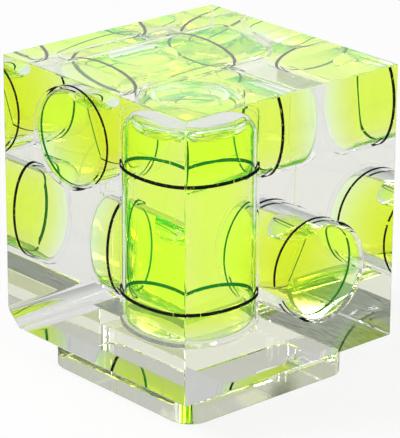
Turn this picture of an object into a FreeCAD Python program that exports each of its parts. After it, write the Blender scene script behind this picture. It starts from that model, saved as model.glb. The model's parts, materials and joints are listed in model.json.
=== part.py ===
import FreeCAD, Part
import math
import os

# Spirit level for a camera's accessory shoe: a clear block on a shoe foot, with three
# liquid-filled vials cast into it, each square to the other two.
# Lengths are in millimetres and angles in degrees.
# Frame: +Z up, origin under the middle of the foot.

# Block
block_width = 23.6          # along X
block_depth = 23.6          # along Y
block_height = 24.6
block_edge_break = 0.12     # sharp edges taken off by polishing
heel_radius = 1.7           # rounded lower edge of the block on its -X side

# Shoe foot, milled from the same block; it slides into the shoe along X
foot_length = 18.6          # along X
foot_width = 18.6           # across the shoe, under its rails, along Y
foot_thickness = 2.0
foot_corner_radius = 2.0
foot_edge_break = 0.15
neck_width = 12.2           # between the shoe's rails, along Y; as long as the foot
neck_height = 1.55          # room for the shoe's rails

# Vial: a moulded tube closed at one end, and a cap cemented on the other.
# Its own frame has +Z along its axis from the closed end to the cap, z = 0 in its
# middle, and +X towards the side that the bubble floats to.
vial_diameter = 9.0
upright_vial_length = 19.2
lying_vial_length = 17.6
vial_edge_bevel = 0.55      # round both ends outside
bore_diameter = 8.45        # at its widest, in the middle
bore_edge_bevel = 0.4       # round both ends inside
end_wall = 0.4
barrel_radius = 400.0       # the bore is widest in the middle, so a bubble runs back there
cap_height = 2.0            # outside the joint with the tube
lap_length = 0.8            # the cap's rim reaches this far into the tube's mouth
lap_diameter = 8.72

# The two lines round each vial, each measured from the end of the vial that it is nearer to
line_width = 0.26
line_depth = 0.1            # the groove that the black paint fills, flush with the tube
upright_line_from_closed_end = 3.1
upright_line_from_cap_end = 5.0
upper_line_from_closed_end = 1.85
upper_line_from_cap_end = 4.65
lower_line_from_closed_end = 3.35
lower_line_from_cap_end = 3.15

# Bubbles
bubble_film = 0.1           # liquid between a floating bubble and the bore
floating_bubble_diameter = 6.0
floating_bubble_depth = 1.5
floating_bubble_rim = 0.55   # bevel round its edges
standing_bubble_diameter = 6.5
standing_bubble_depth = 1.2
standing_bubble_rim = 0.5    # bevel round its edges
bubble_end_clearance = 0.3
upper_bubble_offset = -2.4   # where a floating bubble rests, from the middle of its vial
lower_bubble_offset = -1.3

# Where the middles of the vials are, from the middle of the block: they were set out from
# there, close past each other
upright_vial_x = 5.25
upright_vial_y = -5.65
upright_vial_z = 0.95
upper_vial_x = -5.85
upper_vial_y = 1.1
upper_vial_z = 5.8
lower_vial_x = 0.3
lower_vial_y = 5.35
lower_vial_z = -5.35

# Paint missing from the lines: (middle of the gap, its width), as angles round the vial
upright_lower_gaps = [(318.0, 1.2)]
upright_upper_gaps = [(0.5, 1.5), (105.0, 1.5)]
upper_front_gaps = [(144.0, 9.0)]
upper_rear_gaps = [(210.0, 3.0)]
lower_left_gaps = [(155.0, 8.0)]
lower_right_gaps = [(250.0, 24.0), (65.0, 4.0)]

# Worked out from the sizes above
foot_height = foot_thickness + neck_height
block_middle = foot_height + block_height / 2
vial_radius = vial_diameter / 2
bore_radius = bore_diameter / 2

along_x = FreeCAD.Vector(1, 0, 0)
along_y = FreeCAD.Vector(0, 1, 0)
along_z = FreeCAD.Vector(0, 0, 1)
origin = FreeCAD.Vector(0, 0, 0)


def same(one, other):
    """True for two lengths that differ only by rounding."""
    return abs(one - other) < 1e-6


def point(radius, height):
    """A point of a half-profile in the XZ plane."""
    return FreeCAD.Vector(radius, 0, height)


def turned(edges, start=0.0, sweep=360.0):
    """A solid of revolution about Z, from a closed half-profile in the XZ plane."""
    face = Part.Face(Part.Wire(edges))
    face.rotate(origin, along_z, start)
    return face.revolve(origin, along_z, sweep)


def closed_profile(points):
    """The straight edges that join the points and close the outline."""
    following = points[1:] + points[:1]
    return [Part.LineSegment(a, b).toShape() for a, b in zip(points, following)]


def centred_box(along_x_size, along_y_size, height, bottom):
    """A box centred on the Z axis."""
    corner = FreeCAD.Vector(-along_x_size / 2, -along_y_size / 2, bottom)
    return Part.makeBox(along_x_size, along_y_size, height, corner)


def edges_at_height(shape, height):
    """The edges of a shape that lie flat at one height."""
    return [e for e in shape.Edges if same(e.BoundBox.ZMin, height) and same(e.BoundBox.ZMax, height)]


# Block and foot

def clear_block():
    """The cube with its polished edges and the one rounded lower edge."""
    cube = centred_box(block_width, block_depth, block_height, foot_height)
    heel = [e for e in edges_at_height(cube, foot_height) if e.BoundBox.XMax < 0]
    rounded = cube.makeFillet(heel_radius, heel)
    straight = [e for e in rounded.Edges if e.Curve.TypeId == "Part::GeomLine"]
    heel_ends = [e for e in straight if touches_heel(e)]
    sharp = [e for e in straight if not any(e.isSame(h) for h in heel_ends)]
    return rounded.makeChamfer(block_edge_break, sharp)


def touches_heel(edge):
    """True for the two straight edges where the heel's round surface begins and ends."""
    box = edge.BoundBox
    side = -block_width / 2
    runs_along_y = box.YLength > block_depth / 2
    on_side = same(box.XMax, side) and same(box.ZMax, foot_height + heel_radius)
    on_underside = same(box.XMax, side + heel_radius) and same(box.ZMax, foot_height)
    return runs_along_y and (on_side or on_underside)


def shoe_foot():
    """The foot plate with round corners, and the neck over it between the shoe's rails."""
    plate = centred_box(foot_length, foot_width, foot_thickness, 0)
    corners = [e for e in plate.Edges if same(e.BoundBox.ZLength, foot_thickness)]
    plate = plate.makeFillet(foot_corner_radius, corners)
    plate = plate.makeChamfer(foot_edge_break, edges_at_height(plate, 0))
    neck = centred_box(foot_length, neck_width, neck_height, foot_thickness)
    return plate.fuse(neck)


def block_with_foot(pockets):
    """One piece of clear acrylic, cast round the vials and milled to a foot below."""
    body = clear_block().fuse(shoe_foot()).removeSplitter()
    return body.cut(Part.makeCompound(pockets))


# Vial pieces, each in the vial's own frame

def vial_outside(length):
    """The whole vial as it looks from outside, tube and cap together."""
    blank = Part.makeCylinder(vial_radius, length, FreeCAD.Vector(0, 0, -length / 2))
    rims = edges_at_height(blank, -length / 2) + edges_at_height(blank, length / 2)
    return blank.makeChamfer(vial_edge_bevel, rims)


def barrel_at(height, wall_gap):
    """The bore's radius at a height, where a large arc makes it widest in the middle."""
    sag = barrel_radius - math.sqrt(barrel_radius ** 2 - height ** 2)
    return bore_radius - wall_gap - sag


def bore_space(length, wall_gap=0.0):
    """The space inside the vial: a slightly barrel-shaped bore with bevelled ends."""
    roof = length / 2 - end_wall - wall_gap
    wall_end = roof - bore_edge_bevel
    rim = barrel_at(wall_end, wall_gap)
    wall = Part.Arc(point(rim, -wall_end), point(barrel_at(0, wall_gap), 0), point(rim, wall_end)).toShape()
    ends = [
        point(rim, wall_end),
        point(rim - bore_edge_bevel, roof),
        point(0, roof),
        point(0, -roof),
        point(rim - bore_edge_bevel, -roof),
        point(rim, -wall_end),
    ]
    return turned([wall] + [Part.LineSegment(a, b).toShape() for a, b in zip(ends, ends[1:])])


def tube_zone(length):
    """The part of the vial's wall that belongs to the tube, down from the lap joint."""
    beyond = vial_diameter
    lap = lap_diameter / 2
    joint = length / 2 - cap_height
    outline = [
        point(0, -length),
        point(beyond, -length),
        point(beyond, joint),
        point(lap, joint),
        point(lap, joint - lap_length),
        point(0, joint - lap_length),
    ]
    return turned(closed_profile(outline))


def line_heights(length, from_closed_end, from_cap_end):
    """The heights of a vial's two lines, from its middle."""
    return from_closed_end - length / 2, length / 2 - from_cap_end


def painted_line(height, gaps):
    """One black line round the tube, with the stretches where its paint is missing."""
    inner = vial_radius - line_depth
    low = height - line_width / 2
    high = height + line_width / 2
    corners = [point(inner, low), point(vial_radius, low), point(vial_radius, high), point(inner, high)]
    ordered = sorted(gaps)
    starts = [middle + width / 2 for middle, width in ordered]
    ends = [middle - width / 2 for middle, width in ordered[1:] + ordered[:1]]
    pieces = []
    for start, end in zip(starts, ends):
        sweep = (end - start) % 360.0
        pieces.append(turned(closed_profile(corners), start, sweep))
    return Part.makeCompound(pieces)


def vial_tube(length, lines):
    """The moulded tube with one closed end and its grooves for the lines."""
    wall = vial_outside(length).cut(bore_space(length))
    return wall.common(tube_zone(length)).cut(Part.makeCompound(lines))


def vial_cap(length):
    """The cap, a shallow cup whose rim laps into the tube's mouth."""
    wall = vial_outside(length).cut(bore_space(length))
    return wall.cut(tube_zone(length))


def bevelled_disc(diameter, depth, rim_bevel, bottom):
    """A flat round bubble with bevelled edges, standing on the Z axis."""
    blank = Part.makeCylinder(diameter / 2, depth, FreeCAD.Vector(0, 0, bottom))
    rims = edges_at_height(blank, bottom) + edges_at_height(blank, bottom + depth)
    return blank.makeChamfer(rim_bevel, rims)


def standing_bubble(length):
    """The bubble of the upright vial, spread flat under the cap."""
    bottom = length / 2 - end_wall - standing_bubble_depth
    return bevelled_disc(standing_bubble_diameter, standing_bubble_depth, standing_bubble_rim, bottom)


def floating_bubble(length, offset):
    """The bubble of a lying vial: its top follows the bore, its underside is flat."""
    underside = bore_radius - bubble_film - floating_bubble_depth
    depth = floating_bubble_depth + bubble_film
    disc = bevelled_disc(floating_bubble_diameter, depth, floating_bubble_rim, underside)
    disc.rotate(origin, along_y, 90)
    disc.translate(FreeCAD.Vector(0, 0, offset))
    return disc.common(bore_space(length, bubble_film))


# Places of the vials in the block

def turned_to(axis, up, x, y, z):
    """A function that moves a shape from the vial's frame to its place in the block."""
    turn = FreeCAD.Rotation(up, axis.cross(up), axis, "ZXY")
    move = FreeCAD.Placement(FreeCAD.Vector(x, y, block_middle + z), turn)

    def place(shape):
        moved = shape.copy()
        moved.transformShape(move.toMatrix(), True)
        return moved

    return place


place_upright = turned_to(along_z, along_x, upright_vial_x, upright_vial_y, upright_vial_z)
place_upper = turned_to(along_y, along_z, upper_vial_x, upper_vial_y, upper_vial_z)
place_lower = turned_to(-along_x, along_z, lower_vial_x, lower_vial_y, lower_vial_z)


def vial_nodes(name, place, length, bubble, lines):
    """The six pieces of one vial, placed in the block, by node name."""
    pieces = {
        "tube": vial_tube(length, list(lines.values())),
        "cap": vial_cap(length),
        "liquid": bore_space(length).cut(bubble),
        "bubble": bubble,
    }
    pieces.update(lines)
    return {name + "_vial_" + piece: place(shape) for piece, shape in pieces.items()}


def all_nodes():
    pockets = [
        place_upright(vial_outside(upright_vial_length)),
        place_upper(vial_outside(lying_vial_length)),
        place_lower(vial_outside(lying_vial_length)),
    ]
    low, high = line_heights(upright_vial_length, upright_line_from_closed_end, upright_line_from_cap_end)
    upright_lines = {
        "lower_line": painted_line(low, upright_lower_gaps),
        "upper_line": painted_line(high, upright_upper_gaps),
    }
    low, high = line_heights(lying_vial_length, upper_line_from_closed_end, upper_line_from_cap_end)
    upper_lines = {
        "front_line": painted_line(low, upper_front_gaps),
        "rear_line": painted_line(high, upper_rear_gaps),
    }
    low, high = line_heights(lying_vial_length, lower_line_from_closed_end, lower_line_from_cap_end)
    lower_lines = {
        "right_line": painted_line(low, lower_right_gaps),
        "left_line": painted_line(high, lower_left_gaps),
    }
    nodes = {"clear_block_with_foot": block_with_foot(pockets)}
    nodes.update(vial_nodes("upright", place_upright, upright_vial_length,
                            standing_bubble(upright_vial_length), upright_lines))
    nodes.update(vial_nodes("upper", place_upper, lying_vial_length,
                            floating_bubble(lying_vial_length, upper_bubble_offset), upper_lines))
    nodes.update(vial_nodes("lower", place_lower, lying_vial_length,
                            floating_bubble(lying_vial_length, lower_bubble_offset), lower_lines))
    return nodes


def report_travels():
    """How far each bubble can run along its bore, from where it is modelled."""
    run = lying_vial_length / 2 - end_wall - floating_bubble_diameter / 2 - bubble_end_clearance
    for name, offset in (("upper", upper_bubble_offset), ("lower", lower_bubble_offset)):
        print(name, "bubble towards the closed end", round(-run - offset, 3))
        print(name, "bubble towards the cap", round(run - offset, 3))
    depth = upright_vial_length - 2 * end_wall - standing_bubble_depth - bubble_end_clearance
    print("standing bubble down from the cap", round(depth, 3))


os.makedirs("parts", exist_ok=True)
for node_name, node_shape in all_nodes().items():
    node_shape.exportStep(os.path.join("parts", node_name + ".step"))
    print(node_name, "solids", len(node_shape.Solids), "volume", round(node_shape.Volume, 3),
          "valid", node_shape.isValid())
report_travels()
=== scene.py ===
import json
import math

import bpy
from mathutils import Matrix, Vector

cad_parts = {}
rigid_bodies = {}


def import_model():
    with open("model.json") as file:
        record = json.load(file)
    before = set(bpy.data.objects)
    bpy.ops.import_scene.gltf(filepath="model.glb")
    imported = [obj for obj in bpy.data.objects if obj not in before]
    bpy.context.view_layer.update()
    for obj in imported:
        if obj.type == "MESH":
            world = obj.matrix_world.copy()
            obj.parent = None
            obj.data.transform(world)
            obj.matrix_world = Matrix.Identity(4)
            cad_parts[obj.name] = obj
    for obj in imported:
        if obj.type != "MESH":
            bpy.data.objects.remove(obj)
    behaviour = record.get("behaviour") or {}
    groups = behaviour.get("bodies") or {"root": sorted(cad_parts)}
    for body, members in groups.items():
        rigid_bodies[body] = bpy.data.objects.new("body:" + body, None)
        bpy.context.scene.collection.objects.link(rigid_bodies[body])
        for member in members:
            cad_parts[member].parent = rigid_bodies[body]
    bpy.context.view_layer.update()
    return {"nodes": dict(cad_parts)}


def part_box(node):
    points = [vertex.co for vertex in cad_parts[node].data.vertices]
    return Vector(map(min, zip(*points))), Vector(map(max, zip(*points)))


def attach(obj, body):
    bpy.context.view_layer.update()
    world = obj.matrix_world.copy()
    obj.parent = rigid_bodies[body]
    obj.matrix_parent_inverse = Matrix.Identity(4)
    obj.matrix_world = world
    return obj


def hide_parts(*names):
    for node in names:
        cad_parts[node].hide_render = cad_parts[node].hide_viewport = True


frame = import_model()
print("frame loaded with", len(frame["nodes"]), "solids")

mm = 0.001
white = (1, 1, 1, 1)


# Small helpers

def linear(hexColour):
    # sRGB hex to the linear colour that a socket takes
    channels = [int(hexColour[i:i + 2], 16) / 255 for i in (1, 3, 5)]
    return tuple(c / 12.92 if c <= 0.04045 else ((c + 0.055) / 1.055) ** 2.4 for c in channels) + (1.0,)


def addNode(tree, kind, settings=None, inputs=None):
    # an input given as a node or a socket is linked, any other value is set
    node = tree.nodes.new(kind)
    for name, value in (settings or {}).items():
        setattr(node, name, value)
    for name, value in (inputs or {}).items():
        if isinstance(value, bpy.types.Node):
            value = value.outputs[0]
        if isinstance(value, bpy.types.NodeSocket):
            tree.links.new(value, node.inputs[name])
        else:
            node.inputs[name].default_value = value
    return node


def newMaterial(name):
    material = bpy.data.materials.new(name)
    material.use_nodes = True
    material.node_tree.nodes.clear()
    return material, material.node_tree


def dress(piece, material):
    piece.data.materials.clear()
    piece.data.materials.append(material)


def near(a, b, reach=0.02 * mm):
    return abs(a - b) < reach


def facesUp(centre, normal):
    return normal.z > 0.9


def deselectAll():
    for thing in bpy.context.view_layer.objects:
        thing.select_set(False)


def applyPlace():
    # leaves the active object at the origin, unturned and unscaled, with its place in its mesh
    bpy.ops.object.transform_apply(location=True, rotation=True, scale=True)


def startPiece(name):
    piece = bpy.context.active_object
    piece.name = name
    piece.data.name = name
    applyPlace()
    return piece


def pick(piece, kind, test):
    # selects the faces (by centre and normal) or edges (by their two ends) that pass the test
    bpy.ops.object.mode_set(mode="EDIT")
    bpy.ops.mesh.select_mode(type=kind)
    bpy.ops.mesh.select_all(action="DESELECT")
    bpy.ops.object.mode_set(mode="OBJECT")
    mesh = piece.data
    if kind == "FACE":
        for face in mesh.polygons:
            face.select = test(face.center, face.normal)
    else:
        for edge in mesh.edges:
            a, b = (mesh.vertices[i].co for i in edge.vertices)
            edge.select = test(a, b)
    bpy.ops.object.mode_set(mode="EDIT")


def roundRim(piece, axis, level, radius, steps):
    # rounds the edges that lie at one level of an axis
    pick(piece, "EDGE", lambda a, b: near(a[axis], level) and near(b[axis], level))
    bpy.ops.mesh.bevel(offset=radius, segments=steps, affect="EDGES")


def leaveEditMode():
    bpy.ops.object.mode_set(mode="OBJECT")


def smoothUnder(degrees):
    bpy.ops.object.shade_smooth_by_angle(angle=math.radians(degrees))


def applyModifier(piece, kind, **settings):
    modifier = piece.modifiers.new(kind.title(), kind)
    for name, value in settings.items():
        setattr(modifier, name, value)
    bpy.ops.object.modifier_apply(modifier=modifier.name)


# Clear block with its foot

block = {
    "footLength": 18.6 * mm,        # along X, the way it slides into the shoe
    "footWidth": 18.6 * mm,
    "footThickness": 2.0 * mm,
    "footCorner": 2.0 * mm,
    "footCornerSteps": 14,
    "neckWidth": 12.2 * mm,
    "neckHeight": 1.55 * mm,
    "heelRadius": 1.7 * mm,
    "heelSteps": 16,
    "edgeBreak": 0.12 * mm,
    "edgeBreakSteps": 2,
    "edgeBreakFrom": 50.0,          # degrees: gentler edges stay as they are
    "smoothUnder": 20.0,            # degrees
}

underLevel = block["footThickness"] + block["neckHeight"]      # the block's underside


def makeBlock():
    low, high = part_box("clear_block_with_foot")
    width = high.x - low.x
    length = block["footLength"]
    thick = block["footThickness"]
    deselectAll()
    bpy.ops.mesh.primitive_cube_add(size=1, location=(0, 0, thick / 2),
                                    scale=(length, block["footWidth"], thick))
    piece = startPiece("clear_block")
    pick(piece, "EDGE", lambda a, b: near(a.x, b.x) and near(a.y, b.y))
    bpy.ops.mesh.bevel(offset=block["footCorner"], segments=block["footCornerSteps"], affect="EDGES")
    for side in (-1, 1):
        pick(piece, "FACE", facesUp)
        bpy.ops.mesh.bisect(plane_co=(0, side * block["neckWidth"] / 2, 0), plane_no=(0, 1, 0))
    # the strip between the two cuts grows up into the neck, spreads to the block's underside and rises
    pick(piece, "FACE", lambda c, n: facesUp(c, n) and near(c.y, 0, mm))
    bpy.ops.mesh.extrude_region_move(TRANSFORM_OT_translate={"value": (0, 0, block["neckHeight"])})
    bpy.ops.mesh.extrude_region_move(TRANSFORM_OT_translate={"value": (0, 0, 0)})
    spread = (width / length, width / block["neckWidth"], 1)
    bpy.ops.transform.resize(value=spread, center_override=(0, 0, underLevel))
    bpy.ops.mesh.extrude_region_move(TRANSFORM_OT_translate={"value": (0, 0, high.z - underLevel)})
    # the heel: the long lower edge on the -X side
    pick(piece, "EDGE", lambda a, b: all(near(end.x, low.x) and near(end.z, underLevel) for end in (a, b)))
    bpy.ops.mesh.bevel(offset=block["heelRadius"], segments=block["heelSteps"], affect="EDGES")
    leaveEditMode()
    applyModifier(piece, "BEVEL", width=block["edgeBreak"], segments=block["edgeBreakSteps"],
                  limit_method="ANGLE", angle_limit=math.radians(block["edgeBreakFrom"]))
    smoothUnder(block["smoothUnder"])
    applyModifier(piece, "WEIGHTED_NORMAL", weight=100, keep_sharp=True)   # flat faces stay flat to the eye
    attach(piece, "block")
    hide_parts("clear_block_with_foot")
    return piece


# Tube and cap of each vial, made as two cups that meet mouth to mouth

vial = {
    "around": 128,
    "radius": 4.515 * mm,           # a hair over the printed lines, which lie in the wall
    "boreRadius": 4.225 * mm,
    "lapRadius": 4.36 * mm,         # the cap's rim inside the tube's mouth
    "lapLength": 0.8 * mm,
    "capHeight": 2.0 * mm,
    "endWall": 0.4 * mm,
    "gap": 0.012 * mm,              # keeps the walls from lying in one another
    "outerRound": 0.55 * mm,
    "innerRound": 0.4 * mm,
    "roundSteps": 6,
    "smoothUnder": 35.0,            # degrees
}

# the way from each vial's closed end to its cap, and the side from which angles round it count
vialWays = {
    "upright": (Vector((0, 0, 1)), Vector((1, 0, 0))),
    "upper": (Vector((0, 1, 0)), Vector((0, 0, 1))),
    "lower": (Vector((-1, 0, 0)), Vector((0, 0, 1))),
}

# the axis that each vial lies along, and the turn of a cylinder that brings it there
vialAxes = {
    "upright": (2, (0, 0, 0)),
    "upper": (1, (math.pi / 2, 0, 0)),
    "lower": (0, (0, math.pi / 2, 0)),
}


def vialTurn(name):
    along, side = vialWays[name]
    return Matrix((side, along.cross(side), along)).transposed()


def boxAlong(node, along):
    # middle of a node's box, and its length along the vial
    low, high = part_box(node)
    return (low + high) / 2, abs((high - low).dot(along))


def cupBlank(name, depth):
    # a round blank standing on the origin, with its mouth face ready to be worked
    deselectAll()
    bpy.ops.mesh.primitive_cylinder_add(vertices=vial["around"], radius=vial["radius"], depth=depth,
                                        location=(0, 0, depth / 2))
    piece = startPiece(name)
    pick(piece, "FACE", facesUp)
    return piece


def sinkMouth(narrower, sink):
    bpy.ops.mesh.inset(thickness=narrower)
    bpy.ops.mesh.extrude_region_move(TRANSFORM_OT_translate={"value": (0, 0, sink)})


def lay(piece, turn, place):
    # brings a piece modelled along +Z to its vial
    piece.rotation_euler = turn.to_euler()
    piece.location = place
    applyPlace()


def finishCup(piece, node, turn, closedEnd):
    for level, radius in ((0, vial["outerRound"]), (vial["endWall"], vial["innerRound"])):
        roundRim(piece, 2, level, radius, vial["roundSteps"])
    leaveEditMode()
    smoothUnder(vial["smoothUnder"])
    lay(piece, turn, closedEnd)
    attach(piece, "block")
    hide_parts(node)


def makeTube(name):
    along = vialWays[name][0]
    middle, depth = boxAlong(name + "_vial_tube", along)
    lap = vial["lapRadius"] + vial["gap"]
    seat = vial["lapLength"] + vial["gap"]
    piece = cupBlank(name + "_tube", depth)
    sinkMouth(vial["radius"] - lap, -seat)
    sinkMouth(lap - vial["boreRadius"], seat + vial["endWall"] - depth)
    finishCup(piece, name + "_vial_tube", vialTurn(name), middle - along * depth / 2)
    return piece


def makeCap(name):
    along = vialWays[name][0]
    middle, length = boxAlong(name + "_vial_cap", along)
    depth = vial["capHeight"] - vial["gap"]
    piece = cupBlank(name + "_cap", depth)
    sinkMouth(vial["radius"] - vial["lapRadius"], vial["lapLength"])
    sinkMouth(vial["lapRadius"] - vial["boreRadius"], vial["endWall"] - depth - vial["lapLength"])
    facingTube = vialTurn(name) @ Matrix.Rotation(math.pi, 3, "X")
    finishCup(piece, name + "_vial_cap", facingTube, middle + along * length / 2)
    return piece


# Black lines let into the tubes, each spun as one or more arcs between the gaps in its paint

line = {
    "outer": 4.5 * mm,
    "depth": 0.12 * mm,
    "width": 0.29 * mm,
    "stepDegrees": 3.0,
    "merge": 0.001 * mm,
    "smoothUnder": 35.0,            # degrees
}

# middle and width of each gap, in degrees round the vial
paintGaps = {
    "upright_vial_lower_line": [(318.0, 1.2)],
    "upright_vial_upper_line": [(0.5, 1.5), (105.0, 1.5)],
    "upper_vial_front_line": [(144.0, 9.0)],
    "upper_vial_rear_line": [(210.0, 3.0)],
    "lower_vial_left_line": [(155.0, 8.0)],
    "lower_vial_right_line": [(65.0, 4.0), (250.0, 24.0)],
}


def spinArc(start, sweep):
    # an upright strip as wide as the line, spun round +Z from one gap to the next, in degrees
    deselectAll()
    bpy.ops.mesh.primitive_plane_add(size=1, location=(line["outer"] - line["depth"] / 2, 0, 0),
                                     rotation=(math.pi / 2, 0, 0))
    arc = bpy.context.active_object
    arc.scale = (line["depth"], line["width"], 1)       # a plane takes no scale when it is added
    applyPlace()
    arc.rotation_euler = (0, 0, math.radians(start))
    applyPlace()
    bpy.ops.object.mode_set(mode="EDIT")
    bpy.ops.mesh.select_all(action="SELECT")
    # spin turns clockwise about +Z here
    bpy.ops.mesh.spin(steps=round(sweep / line["stepDegrees"]), angle=-math.radians(sweep),
                      center=(0, 0, 0), axis=(0, 0, 1))
    bpy.ops.mesh.select_all(action="SELECT")
    bpy.ops.mesh.remove_doubles(threshold=line["merge"])
    bpy.ops.mesh.normals_make_consistent(inside=False)
    leaveEditMode()
    return arc


def makeLine(node, gaps):
    name = node.split("_")[0]
    along = vialWays[name][0]
    middle = boxAlong(node, along)[0]
    axisMiddle = boxAlong(name + "_vial_tube", along)[0]
    middle = axisMiddle + along * (middle - axisMiddle).dot(along)
    arcs = []
    for number, (gapMiddle, gapWidth) in enumerate(gaps):
        start = gapMiddle + gapWidth / 2
        nextMiddle, nextWidth = gaps[(number + 1) % len(gaps)]
        arcs.append(spinArc(start, (nextMiddle - nextWidth / 2 - start) % 360.0))
    deselectAll()
    for arc in arcs:
        arc.select_set(True)
    bpy.context.view_layer.objects.active = arcs[0]
    if len(arcs) > 1:
        bpy.ops.object.join()
    piece = startPiece(node.replace("_vial", ""))
    smoothUnder(line["smoothUnder"])
    lay(piece, vialTurn(name), middle)
    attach(piece, "block")
    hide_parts(node)
    return piece


# Liquid in each vial

liquid = {
    "wallGap": 0.02 * mm,
    "endRound": 0.6 * mm,
    "floorRound": 1.1 * mm,         # the upright vial's ends are domed inside
    "roofRound": 1.7 * mm,
    "roundSteps": 10,
    "around": 128,
    "smoothUnder": 40.0,            # degrees
}


def makeLiquid(name):
    node = name + "_vial_liquid"
    axis, turn = vialAxes[name]
    low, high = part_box(node)
    across = (axis + 1) % 3
    radius = (high - low)[across] / 2 - liquid["wallGap"]
    depth = (high - low)[axis] - 2 * liquid["wallGap"]
    deselectAll()
    bpy.ops.mesh.primitive_cylinder_add(vertices=liquid["around"], radius=radius, depth=depth,
                                        location=(low + high) / 2, rotation=turn)
    piece = startPiece(name + "_liquid")
    rounds = (liquid["endRound"], liquid["endRound"])
    if name == "upright":
        rounds = (liquid["floorRound"], liquid["roofRound"])
    for end, rounding in zip((low[axis] + liquid["wallGap"], high[axis] - liquid["wallGap"]), rounds):
        roundRim(piece, axis, end, rounding, liquid["roundSteps"])
    leaveEditMode()
    smoothUnder(liquid["smoothUnder"])
    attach(piece, "block")
    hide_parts(node)
    return piece


# Bubbles

bubble = {
    "around": 96,
    "topRound": 0.5 * mm,           # the standing bubble's rim under the vial's flat end
    "bottomRound": 0.66 * mm,
    "roundSteps": 10,
    "film": 0.1 * mm,               # liquid between a floating bubble and the wall over it
    "under": 0.6 * mm,              # rounding of a floating bubble's lower rim
    "underSteps": 8,
    "boreAround": 192,
    "grain": 0.06 * mm,             # voxels that round the rim where it meets the bore
    "ease": 0.5,
    "easings": 6,
    "smoothUnder": 60.0,            # degrees
}


def finishBubble(piece, name):
    smoothUnder(bubble["smoothUnder"])
    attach(piece, name + "_bubble")
    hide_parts(name + "_vial_bubble")


def makeStandingBubble(name):
    low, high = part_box(name + "_vial_bubble")
    high.z -= bubble["film"]
    deselectAll()
    bpy.ops.mesh.primitive_cylinder_add(vertices=bubble["around"], radius=(high.x - low.x) / 2,
                                        depth=high.z - low.z, location=(low + high) / 2)
    piece = startPiece(name + "_bubble")
    for level, radius in ((high.z, bubble["topRound"]), (low.z, bubble["bottomRound"])):
        roundRim(piece, 2, level, radius, bubble["roundSteps"])
    leaveEditMode()
    finishBubble(piece, name)
    return piece


def makeFloatingBubble(name):
    # a round pool under the bore's top: what a standing cylinder shares with the bore
    axis, turn = vialAxes[name]
    low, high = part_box(name + "_vial_bubble")
    boreLow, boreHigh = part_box(name + "_vial_liquid")
    width = (high - low)[axis]
    middle = (low + high) / 2
    boreMiddle = Vector((middle.x, middle.y, (boreLow.z + boreHigh.z) / 2))
    boreRadius = (boreHigh.z - boreLow.z) / 2
    deselectAll()
    bpy.ops.mesh.primitive_cylinder_add(vertices=bubble["boreAround"], radius=boreRadius - bubble["film"],
                                        depth=2 * width, location=boreMiddle, rotation=turn)
    wall = startPiece("bore")
    deselectAll()
    bpy.ops.mesh.primitive_cylinder_add(vertices=bubble["around"], radius=width / 2,
                                        depth=2 * (high.z - low.z), location=(middle.x, middle.y, high.z))
    piece = startPiece(name + "_bubble")
    roundRim(piece, 2, low.z, bubble["under"], bubble["underSteps"])
    leaveEditMode()
    applyModifier(piece, "BOOLEAN", operation="INTERSECT", solver="EXACT", object=wall)
    bpy.data.objects.remove(wall)
    applyModifier(piece, "REMESH", mode="VOXEL", voxel_size=bubble["grain"])
    applyModifier(piece, "SMOOTH", factor=bubble["ease"], iterations=bubble["easings"])
    finishBubble(piece, name)
    return piece


# Cast acrylic, its sides polished like glass, its underside and foot left from the cutter:
# clear with a faint lime cast, softly blurred where it was milled, with arcs in one spot,
# painted stray lime light on the milled faces, and painted shade in a scratched strip
# behind the neck and in a ragged patch on the foot's side

acrylic = {
    "ior": 1.49,
    "cast": "#8A8A00",              # what the block lets through best
    "castPerMetre": 5.0,
    "milled": "#F2F6D9",            # painted stray lime light on the milled faces
    "skin": 0.01 * mm,              # this little above the underside still counts as milled
    "heelMargin": 0.18 * mm,        # keeps the milling off the sides at the heel's two ends
    "patch": 5.0 * mm,              # size of the dull and bright patches
    "patchFrom": 0.42,              # noise at which a patch starts to dull
    "patchTo": 0.62,
    "dullest": 0.06,
    "shiniest": 0.0,
    "cutterPitch": 0.5 * mm,        # between the cutter's arcs
    "cutterMiddle": (-22 * mm, 3 * mm, 0),
    "cutterWander": 0.6,            # how far the arcs stray, and how fast, against the patches
    "cutterFret": 0.4,
    "arcMiddle": (-9.5 * mm, 0, 2.5 * mm),
    "arcReach": 5.5 * mm,
    "arcCore": 0.4,                 # share of the reach over which the arcs are at full depth
    "arcHeight": 0.003 * mm,
    # painted shade: the dark green painted into the scratched strip behind the neck and the ragged patch on
    # the foot's side
    "paintedShadeGreen": "#2E4A1C",
    "paintedShadeInReflections": "#4F8E44",        # painted shade over the reflections in those places
    "paintedShadeStrength": 0.9,                # how much painted shade the strip takes where the light comes in slanting
    "scratchAndShadeStart": 0.2 * mm,         # over the foot
    "slantFrom": 0.36,              # painted shade starts where the light is this far off straight
    "slantTo": 0.60,
    "streakFrom": 0.35,             # noise between which the scratches go from faint to full
    "streakTo": 0.65,
    "faintestStreak": 0.7,
    "shadePatchMiddle": (9.3 * mm, 1.3 * mm, 0.4 * mm),
    "shadePatchReach": 2.4 * mm,
    "shadePatchCore": 0.8,                # shares of the reach between which the painted shade patch fades
    "shadePatchEdge": 1.4,
    "shadePatchDark": 0.6,
    "scratchLength": 3.0 * mm,
    "scratchWidth": 0.16 * mm,
    "scratchHeight": 0.004 * mm,
    "scratchTurn": 0.9,             # radians off the block's sides
    "scratchWander": 0.4,
}

waveTurn = 20                       # radians by which the wave pattern turns over one unit of its scale


def whereAll(tree, tests):
    # 1 where every test holds, a test being an axis, an operation and a limit
    mask = 1.0
    for across, operation, limit in tests:
        holds = addNode(tree, "ShaderNodeMath", {"operation": operation}, {0: across, 1: limit})
        mask = addNode(tree, "ShaderNodeMath", {"operation": "MULTIPLY"}, {0: mask, 1: holds})
    return mask


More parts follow.
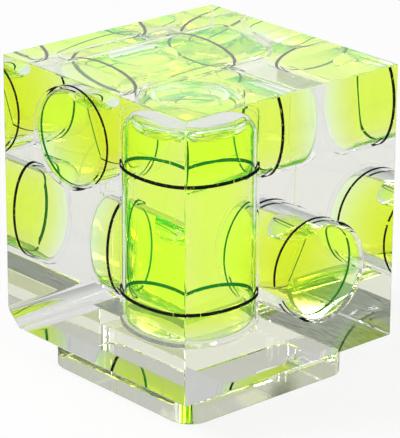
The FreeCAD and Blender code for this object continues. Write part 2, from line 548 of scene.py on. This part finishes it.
def milledMask(tree, x, y, z):
    # 1 on the underside, the neck, the foot and the heel, 0 on the polished faces
    low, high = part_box("clear_block_with_foot")
    fromMiddle = addNode(tree, "ShaderNodeMath", {"operation": "ABSOLUTE"}, {0: y})
    below = whereAll(tree, [(z, "LESS_THAN", underLevel + acrylic["skin"])])
    heel = whereAll(tree, [
        (z, "LESS_THAN", underLevel + block["heelRadius"]),
        (x, "LESS_THAN", low.x + block["heelRadius"]),
        (fromMiddle, "LESS_THAN", high.y - acrylic["heelMargin"])])
    return addNode(tree, "ShaderNodeMath", {"operation": "MAXIMUM"}, {0: below, 1: heel})


def scratchAndShadeMask(tree, y, z):
    # 1 on the underside behind the neck, which is scratched and painted with shade
    return whereAll(tree, [
        (y, "GREATER_THAN", block["neckWidth"] / 2),
        (z, "LESS_THAN", underLevel + acrylic["skin"]),
        (z, "GREATER_THAN", block["footThickness"] + acrylic["scratchAndShadeStart"])])


def cutterArcs(tree, place, milled):
    # arcs of a cutter that turned beside the block, which fade round one spot
    fromCutter = addNode(tree, "ShaderNodeMapping", inputs={
        "Vector": place, "Location": [-c for c in acrylic["cutterMiddle"]]})
    arcs = addNode(tree, "ShaderNodeTexWave", {"wave_type": "RINGS", "rings_direction": "Z"}, {
        "Vector": fromCutter, "Scale": 2 * math.pi / (waveTurn * acrylic["cutterPitch"]),
        "Distortion": acrylic["cutterWander"], "Detail": 1.0,
        "Detail Scale": acrylic["cutterFret"] / acrylic["patch"]})
    toSpot = addNode(tree, "ShaderNodeVectorMath", {"operation": "DISTANCE"}, {
        0: place, 1: acrylic["arcMiddle"]})
    spot = addNode(tree, "ShaderNodeMapRange", inputs={
        "Value": toSpot.outputs["Value"],
        "From Min": acrylic["arcCore"] * acrylic["arcReach"], "From Max": acrylic["arcReach"],
        "To Min": 1.0, "To Max": 0.0})
    strength = addNode(tree, "ShaderNodeMath", {"operation": "MULTIPLY"}, {0: milled, 1: spot})
    return addNode(tree, "ShaderNodeBump", inputs={
        "Height": arcs.outputs["Fac"], "Distance": acrylic["arcHeight"], "Strength": strength})


def paintedShadeShare(tree, place, patches, scratches, scratchedAndShaded):
    # share of painted shade: on the scratched strip behind the neck, more where the light comes in slanting,
    # and in a ragged patch on the foot's side
    streaks = addNode(tree, "ShaderNodeMapRange", inputs={
        "Value": scratches, "From Min": acrylic["streakFrom"], "From Max": acrylic["streakTo"],
        "To Min": acrylic["faintestStreak"], "To Max": 1.0})
    facing = addNode(tree, "ShaderNodeLayerWeight", inputs={"Blend": 0.5})
    slant = addNode(tree, "ShaderNodeMapRange", inputs={
        "Value": facing.outputs["Facing"],
        "From Min": acrylic["slantFrom"], "From Max": acrylic["slantTo"],
        "To Min": 0.0, "To Max": acrylic["paintedShadeStrength"]})
    strip = addNode(tree, "ShaderNodeMath", {"operation": "MULTIPLY"}, {0: streaks, 1: scratchedAndShaded})
    strip = addNode(tree, "ShaderNodeMath", {"operation": "MULTIPLY"}, {0: strip, 1: slant})
    # painted shade in a ragged patch on the foot's side
    toShadePatch = addNode(tree, "ShaderNodeVectorMath", {"operation": "DISTANCE"}, {
        0: place, 1: acrylic["shadePatchMiddle"]})
    ragged = addNode(tree, "ShaderNodeMath", {"operation": "MULTIPLY_ADD"}, {
        0: patches, 1: acrylic["shadePatchReach"], 2: toShadePatch.outputs["Value"]})
    shadePatch = addNode(tree, "ShaderNodeMapRange", inputs={
        "Value": ragged, "From Min": acrylic["shadePatchCore"] * acrylic["shadePatchReach"],
        "From Max": acrylic["shadePatchEdge"] * acrylic["shadePatchReach"],
        "To Min": acrylic["shadePatchDark"], "To Max": 0.0})
    return addNode(tree, "ShaderNodeMath", {"operation": "MAXIMUM"}, {0: strip, 1: shadePatch})


def clearAcrylic():
    material, tree = newMaterial("castAcrylicPolishedAndMilled")
    place = addNode(tree, "ShaderNodeTexCoord").outputs["Object"]
    axes = addNode(tree, "ShaderNodeSeparateXYZ", inputs={0: place}).outputs
    milled = milledMask(tree, axes["X"], axes["Y"], axes["Z"])
    scratchedAndShaded = scratchAndShadeMask(tree, axes["Y"], axes["Z"])

    patches = addNode(tree, "ShaderNodeTexNoise", inputs={
        "Vector": place, "Scale": 1 / acrylic["patch"], "Detail": 3.0, "Roughness": 0.6}).outputs["Fac"]
    dull = addNode(tree, "ShaderNodeMapRange", inputs={
        "Value": patches, "From Min": acrylic["patchFrom"], "From Max": acrylic["patchTo"],
        "To Min": acrylic["shiniest"], "To Max": acrylic["dullest"]})
    rough = addNode(tree, "ShaderNodeMath", {"operation": "MULTIPLY"}, {0: dull, 1: milled})

    askew = addNode(tree, "ShaderNodeMapping", inputs={
        "Vector": place, "Rotation": (0, 0, acrylic["scratchTurn"]),
        "Scale": (1 / acrylic["scratchLength"], 1 / acrylic["scratchWidth"], 1 / acrylic["scratchLength"])})
    scratches = addNode(tree, "ShaderNodeTexNoise", inputs={
        "Vector": askew, "Scale": 1.0, "Detail": 2.0, "Distortion": acrylic["scratchWander"]}).outputs["Fac"]
    bump = addNode(tree, "ShaderNodeBump", inputs={
        "Height": scratches, "Distance": acrylic["scratchHeight"], "Strength": scratchedAndShaded,
        "Normal": cutterArcs(tree, place, milled)})

    # painted shade lets less light through and darkens both the colour and the reflections
    paintedShade = paintedShadeShare(tree, place, patches, scratches, scratchedAndShaded)
    passed = addNode(tree, "ShaderNodeMath", {"operation": "SUBTRACT"}, {0: 1.0, 1: paintedShade})
    # painted stray lime light tints the milled faces
    stray = addNode(tree, "ShaderNodeMix", {"data_type": "RGBA"}, {
        "Factor": milled, "A": white, "B": linear(acrylic["milled"])})
    paintedLightAndShade = addNode(tree, "ShaderNodeMix", {"data_type": "RGBA"}, {
        "Factor": paintedShade, "A": stray.outputs["Result"], "B": linear(acrylic["paintedShadeGreen"])})
    paintedReflectionShade = addNode(tree, "ShaderNodeMix", {"data_type": "RGBA"}, {
        "Factor": paintedShade, "A": white, "B": linear(acrylic["paintedShadeInReflections"])})

    shader = addNode(tree, "ShaderNodeBsdfPrincipled", inputs={
        "Base Color": paintedLightAndShade.outputs["Result"], "Transmission Weight": passed, "IOR": acrylic["ior"],
        "Specular Tint": paintedReflectionShade.outputs["Result"], "Roughness": rough, "Normal": bump})
    volume = addNode(tree, "ShaderNodeVolumeAbsorption", inputs={
        "Color": linear(acrylic["cast"]), "Density": acrylic["castPerMetre"]})
    addNode(tree, "ShaderNodeOutputMaterial", inputs={"Surface": shader, "Volume": volume})
    return material


# Moulded acrylic of the vials, cast over with the same plastic, so that only the faintest
# outline of tube and cap is left to see

vialPlastic = {
    "ior": 1.012,                   # against the block round it
    "haze": "#FCFCFD",
    "hazeGrain": 1.5 * mm,
}


def mouldedVial():
    material, tree = newMaterial("mouldedVialAcrylic")
    place = addNode(tree, "ShaderNodeTexCoord").outputs["Object"]
    grain = addNode(tree, "ShaderNodeTexNoise", inputs={
        "Vector": place, "Scale": 1 / vialPlastic["hazeGrain"], "Detail": 2.0}).outputs["Fac"]
    haze = addNode(tree, "ShaderNodeMix", {"data_type": "RGBA"}, {
        "Factor": grain, "A": white, "B": linear(vialPlastic["haze"])})
    shader = addNode(tree, "ShaderNodeBsdfPrincipled", inputs={
        "Base Color": haze.outputs["Result"], "Transmission Weight": 1.0, "IOR": vialPlastic["ior"],
        "Roughness": 0.0})
    addNode(tree, "ShaderNodeOutputMaterial", inputs={"Surface": shader})
    return material


# Vial spirit with fluorescent dye: lime where it is deep, with a painted green glow for its fluorescence
# that fades towards its edges as the liquid gets thin

spirit = {
    "ior": 0.955,                   # against the block round it
    "dye": "#FBFC3E",               # what the liquid lets through best
    "dyePerMetre": 240.0,
    # painted glow: the liquid gives off this green whatever light falls on it
    "glow": "#2FFF60",
    "paintedGlowStrength": 0.13,
}


def levelLiquid():
    material, tree = newMaterial("fluorescentVialSpirit")
    facing = addNode(tree, "ShaderNodeLayerWeight", inputs={"Blend": 0.5})
    deep = addNode(tree, "ShaderNodeMapRange", inputs={
        "Value": facing.outputs["Facing"], "From Min": 0.0, "From Max": 1.0,
        "To Min": spirit["paintedGlowStrength"], "To Max": 0.0})
    shader = addNode(tree, "ShaderNodeBsdfPrincipled", inputs={
        "Base Color": white, "Transmission Weight": 1.0, "IOR": spirit["ior"], "Roughness": 0.0,
        "Emission Color": linear(spirit["glow"]), "Emission Strength": deep})
    volume = addNode(tree, "ShaderNodeVolumeAbsorption", inputs={
        "Color": linear(spirit["dye"]), "Density": spirit["dyePerMetre"]})
    addNode(tree, "ShaderNodeOutputMaterial", inputs={"Surface": shader, "Volume": volume})
    return material


# Air: the bubble's skin bends light so strongly that its rim goes dark and its top shines

air = {
    "ior": 0.70,                    # against the liquid round it
}


def airBubble():
    material, tree = newMaterial("airInLiquid")
    shader = addNode(tree, "ShaderNodeBsdfGlass", inputs={
        "Color": white, "IOR": air["ior"], "Roughness": 0.0})
    addNode(tree, "ShaderNodeOutputMaterial", inputs={"Surface": shader})
    return material


# Printed enamel: matt black lines whose paint has flaked here and there

paint = {
    "black": "#050505",
    "roughness": 0.6,
    "flake": 0.22 * mm,
    "missing": 0.36,                # paint is gone where the noise is below this
    "softness": 0.04,
}


def printedBlack():
    material, tree = newMaterial("printedBlackEnamel")
    place = addNode(tree, "ShaderNodeTexCoord").outputs["Object"]
    flakes = addNode(tree, "ShaderNodeTexNoise", inputs={
        "Vector": place, "Scale": 1 / paint["flake"], "Detail": 2.0, "Roughness": 0.5})
    whole = addNode(tree, "ShaderNodeMapRange", inputs={
        "Value": flakes.outputs["Fac"], "From Min": paint["missing"],
        "From Max": paint["missing"] + paint["softness"]})
    shader = addNode(tree, "ShaderNodeBsdfPrincipled", inputs={
        "Base Color": linear(paint["black"]), "Roughness": paint["roughness"], "Specular IOR Level": 0.0,
        "Alpha": whole})
    addNode(tree, "ShaderNodeOutputMaterial", inputs={"Surface": shader})
    return material


# Stage: white to the camera and through the clear block, dim in reflections off its outside

stage = {
    "floorSide": 3.0,
    "floorDrop": 0.02 * mm,
    "floorGrey": "#F2F2F2",
    "floorWhite": 0.85,             # share of plain white in the floor, the rest takes the shadow
    "floorThrough": 0.93,           # the floor as the clear block shows it
    "reflected": 0.16,              # the floor in the sides
    "reflectedSky": 1.3,            # the sky in the top
    "skyLow": "#B8B8BE",            # near the horizon, seen through the block
    "skyHigh": "#F4F4F8",
    "skyHighFrom": 0.9,
    "softLight": 0.40,
}


def rayKinds(tree):
    # whether a ray comes straight from the camera, through something clear, or off a shiny outside
    rays = addNode(tree, "ShaderNodeLightPath").outputs
    through = rays["Is Transmission Ray"]
    notThrough = addNode(tree, "ShaderNodeMath", {"operation": "SUBTRACT"}, {0: 1.0, 1: through})
    mirrored = addNode(tree, "ShaderNodeMath", {"operation": "MULTIPLY"}, {
        0: rays["Is Glossy Ray"], 1: notThrough})
    return rays["Is Camera Ray"], through, mirrored


def makeFloor():
    deselectAll()
    bpy.ops.mesh.primitive_plane_add(size=stage["floorSide"], location=(0, 0, -stage["floorDrop"]))
    floor = startPiece("floor")
    material, tree = newMaterial("paleFloor")
    direct, through, mirrored = rayKinds(tree)
    plain = addNode(tree, "ShaderNodeMath", {"operation": "MULTIPLY"}, {0: direct, 1: stage["floorWhite"]})
    look = addNode(tree, "ShaderNodeBsdfDiffuse", inputs={"Color": linear(stage["floorGrey"])})
    for share, strength in (
            (plain, 1.0), (mirrored, stage["reflected"]), (through, stage["floorThrough"])):
        glow = addNode(tree, "ShaderNodeEmission", inputs={"Color": white, "Strength": strength})
        look = addNode(tree, "ShaderNodeMixShader", inputs={0: share, 1: look, 2: glow})
    addNode(tree, "ShaderNodeOutputMaterial", inputs={"Surface": look})
    dress(floor, material)


def makeSky():
    world = bpy.data.worlds.new("studio")
    bpy.context.scene.world = world
    world.use_nodes = True
    tree = world.node_tree
    tree.nodes.clear()
    direct, through, mirrored = rayKinds(tree)
    direction = addNode(tree, "ShaderNodeTexCoord").outputs["Generated"]
    axes = addNode(tree, "ShaderNodeSeparateXYZ", inputs={0: direction})
    sky = addNode(tree, "ShaderNodeValToRGB", inputs={0: axes.outputs["Z"]})
    sky.color_ramp.elements[0].color = linear(stage["skyLow"])
    sky.color_ramp.elements[1].color = linear(stage["skyHigh"])
    sky.color_ramp.elements[1].position = stage["skyHighFrom"]
    look = addNode(tree, "ShaderNodeBackground", inputs={"Color": white, "Strength": stage["softLight"]})
    for share, colour, strength in (
            (mirrored, white, stage["reflectedSky"]), (through, sky, 1.0), (direct, white, 1.0)):
        backdrop = addNode(tree, "ShaderNodeBackground", inputs={"Color": colour, "Strength": strength})
        look = addNode(tree, "ShaderNodeMixShader", inputs={0: share, 1: look, 2: backdrop})
    addNode(tree, "ShaderNodeOutputWorld", inputs={"Surface": look})


lamps = {
    "key": ((-0.3, -0.5, 0.6), 0.4, 5.0),       # place and size in metres, watts
    "fill": ((0.6, -0.2, 0.4), 0.4, 1.5),
}


def makeLamp(name, place, size, power):
    light = bpy.data.lights.new(name, "AREA")
    light.shape = "DISK"
    light.size = size
    light.energy = power
    lamp = bpy.data.objects.new(name, light)
    bpy.context.scene.collection.objects.link(lamp)
    lamp.location = place
    lamp.rotation_euler = (-Vector(place)).to_track_quat("-Z", "Y").to_euler()


# Camera

camera = {
    "lens": 230.91,                 # millimetres, as is the sensor
    "sensor": 36.0,
    "azimuth": 48.647,              # degrees, as are the next two
    "elevation": 20.302,
    "roll": 0.277,
    "distance": 240.929 * mm,
    "target": (0.136 * mm, 0.0, 14.289 * mm),
    "shiftUp": -0.0121,             # seats the picture in the frame
    "nearest": 5.0 * mm,            # what it still sees
    "farthest": 10.0,
}


def makeCamera():
    azimuth, elevation, roll = (math.radians(camera[k]) for k in ("azimuth", "elevation", "roll"))
    back = Vector((math.sin(azimuth) * math.cos(elevation), -math.cos(azimuth) * math.cos(elevation),
                   math.sin(elevation)))
    data = bpy.data.cameras.new("camera")
    data.lens = camera["lens"]
    data.sensor_width = camera["sensor"]
    data.shift_y = camera["shiftUp"]
    data.clip_start = camera["nearest"]
    data.clip_end = camera["farthest"]
    view = bpy.data.objects.new("camera", data)
    bpy.context.scene.collection.objects.link(view)
    view.location = Vector(camera["target"]) + back * camera["distance"]
    facing = (-back).to_track_quat("-Z", "Y").to_matrix().to_4x4()
    view.rotation_euler = (facing @ Matrix.Rotation(roll, 4, "Z")).to_euler()
    bpy.context.scene.camera = view


# Making

makeCamera()
makeFloor()
makeSky()
for lampName, (lampPlace, lampSize, lampPower) in lamps.items():
    makeLamp(lampName, lampPlace, lampSize, lampPower)
print("stage, lamps and camera set")

clearBlock = makeBlock()
print("block and foot shaped")
tubesAndCaps = [make(name) for name in vialWays for make in (makeTube, makeCap)]
lines = [makeLine(node, gaps) for node, gaps in paintGaps.items()]
print("vials and their lines shaped")
liquids = [makeLiquid(name) for name in vialWays]
bubbles = [makeStandingBubble("upright"), makeFloatingBubble("upper"), makeFloatingBubble("lower")]
print("liquids and bubbles shaped")

for pieces, material in (
        ([clearBlock], clearAcrylic()), (liquids, levelLiquid()), (bubbles, airBubble()),
        (lines, printedBlack()), (tubesAndCaps, mouldedVial())):
    for piece in pieces:
        dress(piece, material)
print("materials set")

bpy.context.scene.view_settings.view_transform = "Standard"
cycles = bpy.context.scene.cycles
cycles.max_bounces = 40             # light crosses many walls of the block and its vials
cycles.transmission_bounces = 40
cycles.glossy_bounces = 24
cycles.transparent_max_bounces = 24
